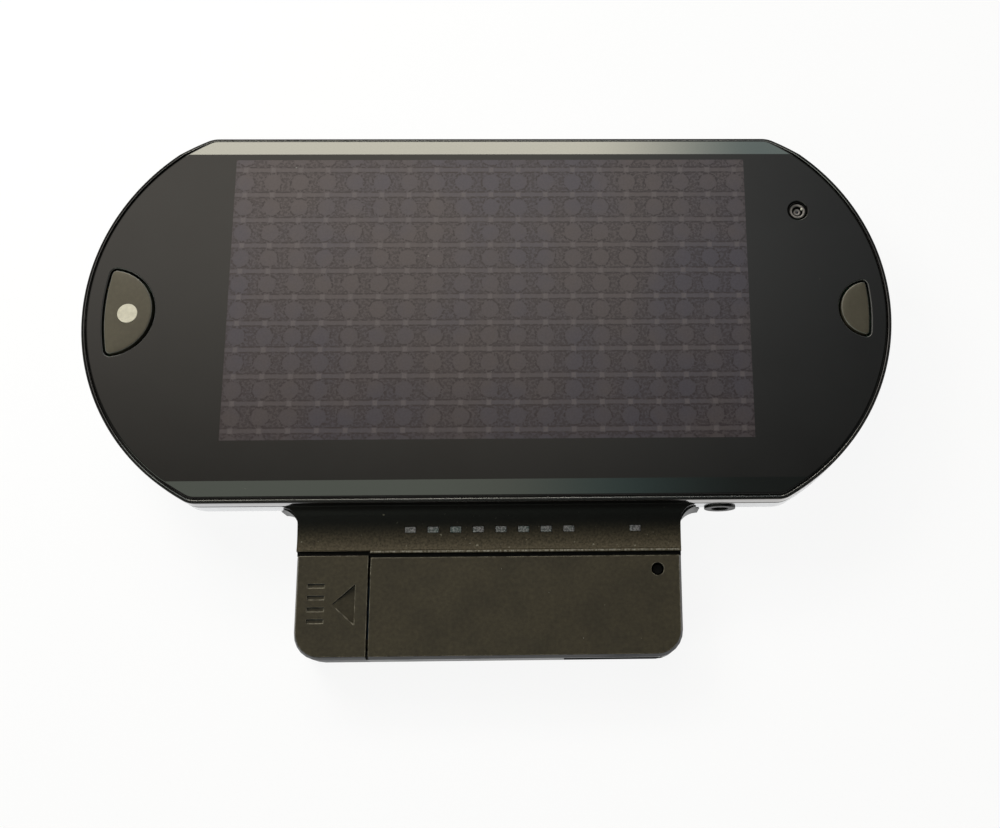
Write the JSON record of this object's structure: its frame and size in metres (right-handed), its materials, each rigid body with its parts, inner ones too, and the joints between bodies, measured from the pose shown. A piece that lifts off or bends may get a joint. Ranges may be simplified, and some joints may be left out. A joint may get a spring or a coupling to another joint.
{
  "type": "handheld game console",
  "caption": "Oval handheld game console with a glass-fronted screen half that slides up over a control deck, and a flat module with a battery door below it.",
  "frame": {"origin": "middle of the oval body on its flat back, where it rests on a table", "axes": "+X to the right of the screen, +Y to the screen's top edge, +Z out of the screen"},
  "size_m": [0.1712, 0.1124, 0.0171],
  "materials": {
    "screen_band": "gloss",
    "bezel": "gloss",
    "front_glass": "gloss",
    "display": "gloss",
    "chassis": "satin",
    "camera": "gloss",
    "camera_lens": "gloss",
    "front_key": "satin",
    "home_dot": "satin",
    "steel": "satin",
    "screw": "satin",
    "deck_shell": "gloss",
    "deck_cover": "satin",
    "control": "satin",
    "board": "matte",
    "inner_black": "matte",
    "pad_rubber": "matte",
    "jack": "satin",
    "module_case": "satin",
    "neck": "satin",
    "module_top": "satin",
    "light_window": "satin",
    "battery": "matte",
    "contact": "satin",
    "port_metal": "satin"
  },
  "bodies": {
    "deck": {"rear_shell": "deck_shell", "deck_cover": "deck_cover", "slide_frame": "steel", "main_board": "board", "processor_shield": "chassis", "board_chips": "inner_black", "speakers": "inner_black", "control_board": "board", "button_pads": "pad_rubber", "dpad_saddle": "inner_black", "nub_bases": "inner_black", "shoulder_pins": "steel", "shoulder_switches": "inner_black", "headphone_jack": "jack", "rear_screws": "screw", "module_shell": "module_case", "neck_cover": "neck", "module_plate": "module_top", "status_windows": "light_window", "charge_window": "light_window", "module_board": "board", "battery": "battery", "battery_contacts": "contact", "dock_port": "port_metal", "dock_contacts": "contact", "expansion_plug": "inner_black", "module_screws": "screw"},
    "screen_half": {"screen_frame": "screen_band", "front_bezel": "bezel", "front_glass": "front_glass", "touch_sensor": "display", "display_panel": "display", "screen_chassis": "chassis", "camera_module": "camera", "camera_lens": "camera_lens", "key_boards": "board", "slide_carriage": "steel", "carriage_screws": "screw"},
    "home_key": {"home_key": "front_key", "home_dot": "home_dot"},
    "power_key": {"power_key": "front_key"},
    "battery_door": {"battery_door": "module_top"},
    "dpad_rocker": {"dpad_rocker": "steel"},
    "dpad": {"dpad": "control"},
    "nub_slider_left": {"nub_slider_left": "steel"},
    "nub_left": {"nub_left": "control"},
    "nub_slider_right": {"nub_slider_right": "steel"},
    "nub_right": {"nub_right": "control"},
    "button_north": {"button_north": "control"},
    "button_east": {"button_east": "control"},
    "button_south": {"button_south": "control"},
    "button_west": {"button_west": "control"},
    "start_key": {"start_key": "control"},
    "select_key": {"select_key": "control"},
    "shoulder_left": {"shoulder_left": "control"},
    "shoulder_right": {"shoulder_right": "control"},
    "reset_button": {"reset_button": "control"}
  },
  "joints": [
    {"name": "screen_slide", "type": "slide", "parent": "deck", "child": "screen_half", "axis": [0, 1, 0], "range_m": [0, 0.032]},
    {"name": "home_press", "type": "slide", "parent": "screen_half", "child": "home_key", "axis": [0, 0, -1], "range_m": [0, 0.0005], "stiffness_N_per_m": 1000, "springref_m": -0.0005},
    {"name": "power_press", "type": "slide", "parent": "screen_half", "child": "power_key", "axis": [0, 0, -1], "range_m": [0, 0.0005], "stiffness_N_per_m": 1000, "springref_m": -0.0005},
    {"name": "dpad_pitch", "type": "hinge", "parent": "deck", "child": "dpad_rocker", "pos_m": [-0.061, -0.024, 0.0081], "axis": [1, 0, 0], "range_deg": [-3, 3], "stiffness_Nm_per_rad": 0.1},
    {"name": "dpad_roll", "type": "hinge", "parent": "dpad_rocker", "child": "dpad", "pos_m": [-0.061, -0.024, 0.0081], "axis": [0, 1, 0], "range_deg": [-3, 3], "stiffness_Nm_per_rad": 0.1},
    {"name": "nub_left_x", "type": "slide", "parent": "deck", "child": "nub_slider_left", "axis": [1, 0, 0], "range_m": [-0.0018, 0.0018], "stiffness_N_per_m": 300},
    {"name": "nub_left_y", "type": "slide", "parent": "nub_slider_left", "child": "nub_left", "axis": [0, 1, 0], "range_m": [-0.0018, 0.0018], "stiffness_N_per_m": 300},
    {"name": "nub_right_x", "type": "slide", "parent": "deck", "child": "nub_slider_right", "axis": [1, 0, 0], "range_m": [-0.0018, 0.0018], "stiffness_N_per_m": 300},
    {"name": "nub_right_y", "type": "slide", "parent": "nub_slider_right", "child": "nub_right", "axis": [0, 1, 0], "range_m": [-0.0018, 0.0018], "stiffness_N_per_m": 300},
    {"name": "button_north_press", "type": "slide", "parent": "deck", "child": "button_north", "axis": [0, 0, -1], "range_m": [0, 0.0007], "stiffness_N_per_m": 1000, "springref_m": -0.0005},
    {"name": "button_east_press", "type": "slide", "parent": "deck", "child": "button_east", "axis": [0, 0, -1], "range_m": [0, 0.0007], "stiffness_N_per_m": 1000, "springref_m": -0.0005},
    {"name": "button_south_press", "type": "slide", "parent": "deck", "child": "button_south", "axis": [0, 0, -1], "range_m": [0, 0.0007], "stiffness_N_per_m": 1000, "springref_m": -0.0005},
    {"name": "button_west_press", "type": "slide", "parent": "deck", "child": "button_west", "axis": [0, 0, -1], "range_m": [0, 0.0007], "stiffness_N_per_m": 1000, "springref_m": -0.0005},
    {"name": "start_press", "type": "slide", "parent": "deck", "child": "start_key", "axis": [0, 0, -1], "range_m": [0, 0.0007], "stiffness_N_per_m": 1000, "springref_m": -0.0005},
    {"name": "select_press", "type": "slide", "parent": "deck", "child": "select_key", "axis": [0, 0, -1], "range_m": [0, 0.0007], "stiffness_N_per_m": 1000, "springref_m": -0.0005},
    {"name": "shoulder_left_swing", "type": "hinge", "parent": "deck", "child": "shoulder_left", "pos_m": [-0.0462, 0.0372, 0.0057], "axis": [0, 0, 1], "range_deg": [0, 4], "stiffness_Nm_per_rad": 0.15, "springref_deg": -2.86},
    {"name": "shoulder_right_swing", "type": "hinge", "parent": "deck", "child": "shoulder_right", "pos_m": [0.0462, 0.0372, 0.0057], "axis": [0, 0, 1], "range_deg": [-4, 0], "stiffness_Nm_per_rad": 0.15, "springref_deg": 2.86},
    {"name": "battery_door_slide", "type": "slide", "parent": "deck", "child": "battery_door", "axis": [-1, 0, 0], "range_m": [0, 0.016]},
    {"name": "reset_press", "type": "slide", "parent": "deck", "child": "reset_button", "axis": [0, 0, -1], "range_m": [0, 0.0004], "stiffness_N_per_m": 800, "springref_m": -0.0003}
  ]
}
